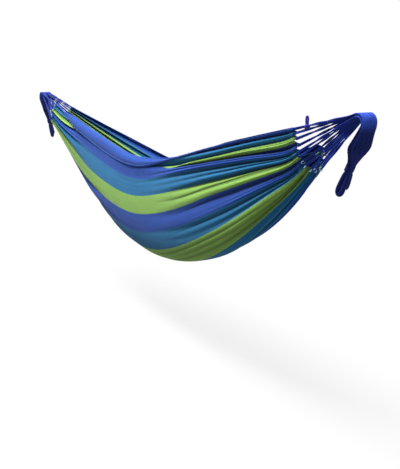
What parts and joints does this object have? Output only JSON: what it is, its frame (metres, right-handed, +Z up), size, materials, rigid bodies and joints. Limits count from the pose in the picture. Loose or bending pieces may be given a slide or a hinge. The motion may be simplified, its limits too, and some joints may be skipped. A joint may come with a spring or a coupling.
{
  "type": "camping hammock",
  "caption": "Gathered-end striped fabric hammock with fans of clew cords, each ending in a bundle over its support and a hanging eye loop.",
  "frame": {"origin": "axis of the round support under the left saddle, at the middle of the bundle's width", "axes": "+X to the right support, +Y to the far rim, +Z up"},
  "size_m": [2.866, 0.3285, 0.7304],
  "materials": {
    "striped_canvas": "plain-woven cotton canvas with lengthways stripes of royal blue, teal blue and lime green",
    "hem": "folded and stitched canvas",
    "cord": "twisted cotton cord, navy",
    "whipping": "cord wound tightly, navy",
    "loop_cord": "thin pale blue cord"
  },
  "bodies": {
    "supports": {"left_saddle": "cord", "right_saddle": "cord"},
    "left_tail": {"left_tail": "cord", "left_whipping": "whipping"},
    "right_tail": {"right_tail": "cord", "right_whipping": "whipping"},
    "left_eye": {"left_eye_loop": "cord", "left_whipping_end": "cord"},
    "right_eye": {"right_eye_loop": "cord", "right_whipping_end": "cord"},
    "corner_loop": {"right_corner_loop": "cord"},
    "bed": {"bed_fabric": "striped_canvas", "far_side_hem": "hem", "left_clew_01": "cord", "left_clew_02": "cord", "left_clew_03": "cord", "left_clew_04": "cord", "left_clew_05": "cord", "left_clew_06": "cord", "left_clew_07": "cord", "left_clew_08": "cord", "left_clew_09": "cord", "left_clew_10": "cord", "left_clew_11": "cord", "left_clew_12": "cord", "left_clew_13": "cord", "left_clew_14": "cord", "left_clew_15": "cord", "left_clew_16": "cord", "left_end_hem": "hem", "left_hem_loops": "loop_cord", "near_side_hem": "hem", "right_clew_01": "cord", "right_clew_02": "cord", "right_clew_03": "cord", "right_clew_04": "cord", "right_clew_05": "cord", "right_clew_06": "cord", "right_clew_07": "cord", "right_clew_08": "cord", "right_clew_09": "cord", "right_clew_10": "cord", "right_clew_11": "cord", "right_clew_12": "cord", "right_clew_13": "cord", "right_clew_14": "cord", "right_clew_15": "cord", "right_clew_16": "cord", "right_corner_knot": "cord", "right_end_hem": "hem", "right_hem_loops": "loop_cord"}
  },
  "joints": [
    {"name": "bed_swing", "type": "hinge", "parent": "supports", "child": "bed", "pos_m": [0, 0, 0.02079], "axis": [1, 0, 0], "range_deg": [-35, 35]},
    {"name": "left_tail_swing", "type": "hinge", "parent": "supports", "child": "left_tail", "pos_m": [-0.02296, 0, -0.01221], "axis": [0, 1, 0], "range_deg": [-8, 60], "stiffness_Nm_per_rad": 0.2, "springref_deg": -7.86},
    {"name": "left_eye_flop", "type": "hinge", "parent": "left_tail", "child": "left_eye", "pos_m": [0.06437, 0, -0.17643], "axis": [0, 1, 0], "range_deg": [-25, 45], "stiffness_Nm_per_rad": 0.02, "springref_deg": -3.86},
    {"name": "right_tail_swing", "type": "hinge", "parent": "supports", "child": "right_tail", "pos_m": [2.82296, 0, -0.01221], "axis": [0, -1, 0], "range_deg": [-8, 60], "stiffness_Nm_per_rad": 0.2, "springref_deg": -9.15},
    {"name": "right_eye_flop", "type": "hinge", "parent": "right_tail", "child": "right_eye", "pos_m": [2.73563, 0, -0.17643], "axis": [0, -1, 0], "range_deg": [-25, 45], "stiffness_Nm_per_rad": 0.02, "springref_deg": -3.86},
    {"name": "corner_loop_flop", "type": "hinge", "parent": "bed", "child": "corner_loop", "pos_m": [2.5825, -0.039, -0.0145], "axis": [0, 1, 0], "range_deg": [-55, 55], "stiffness_Nm_per_rad": 0.005}
  ]
}
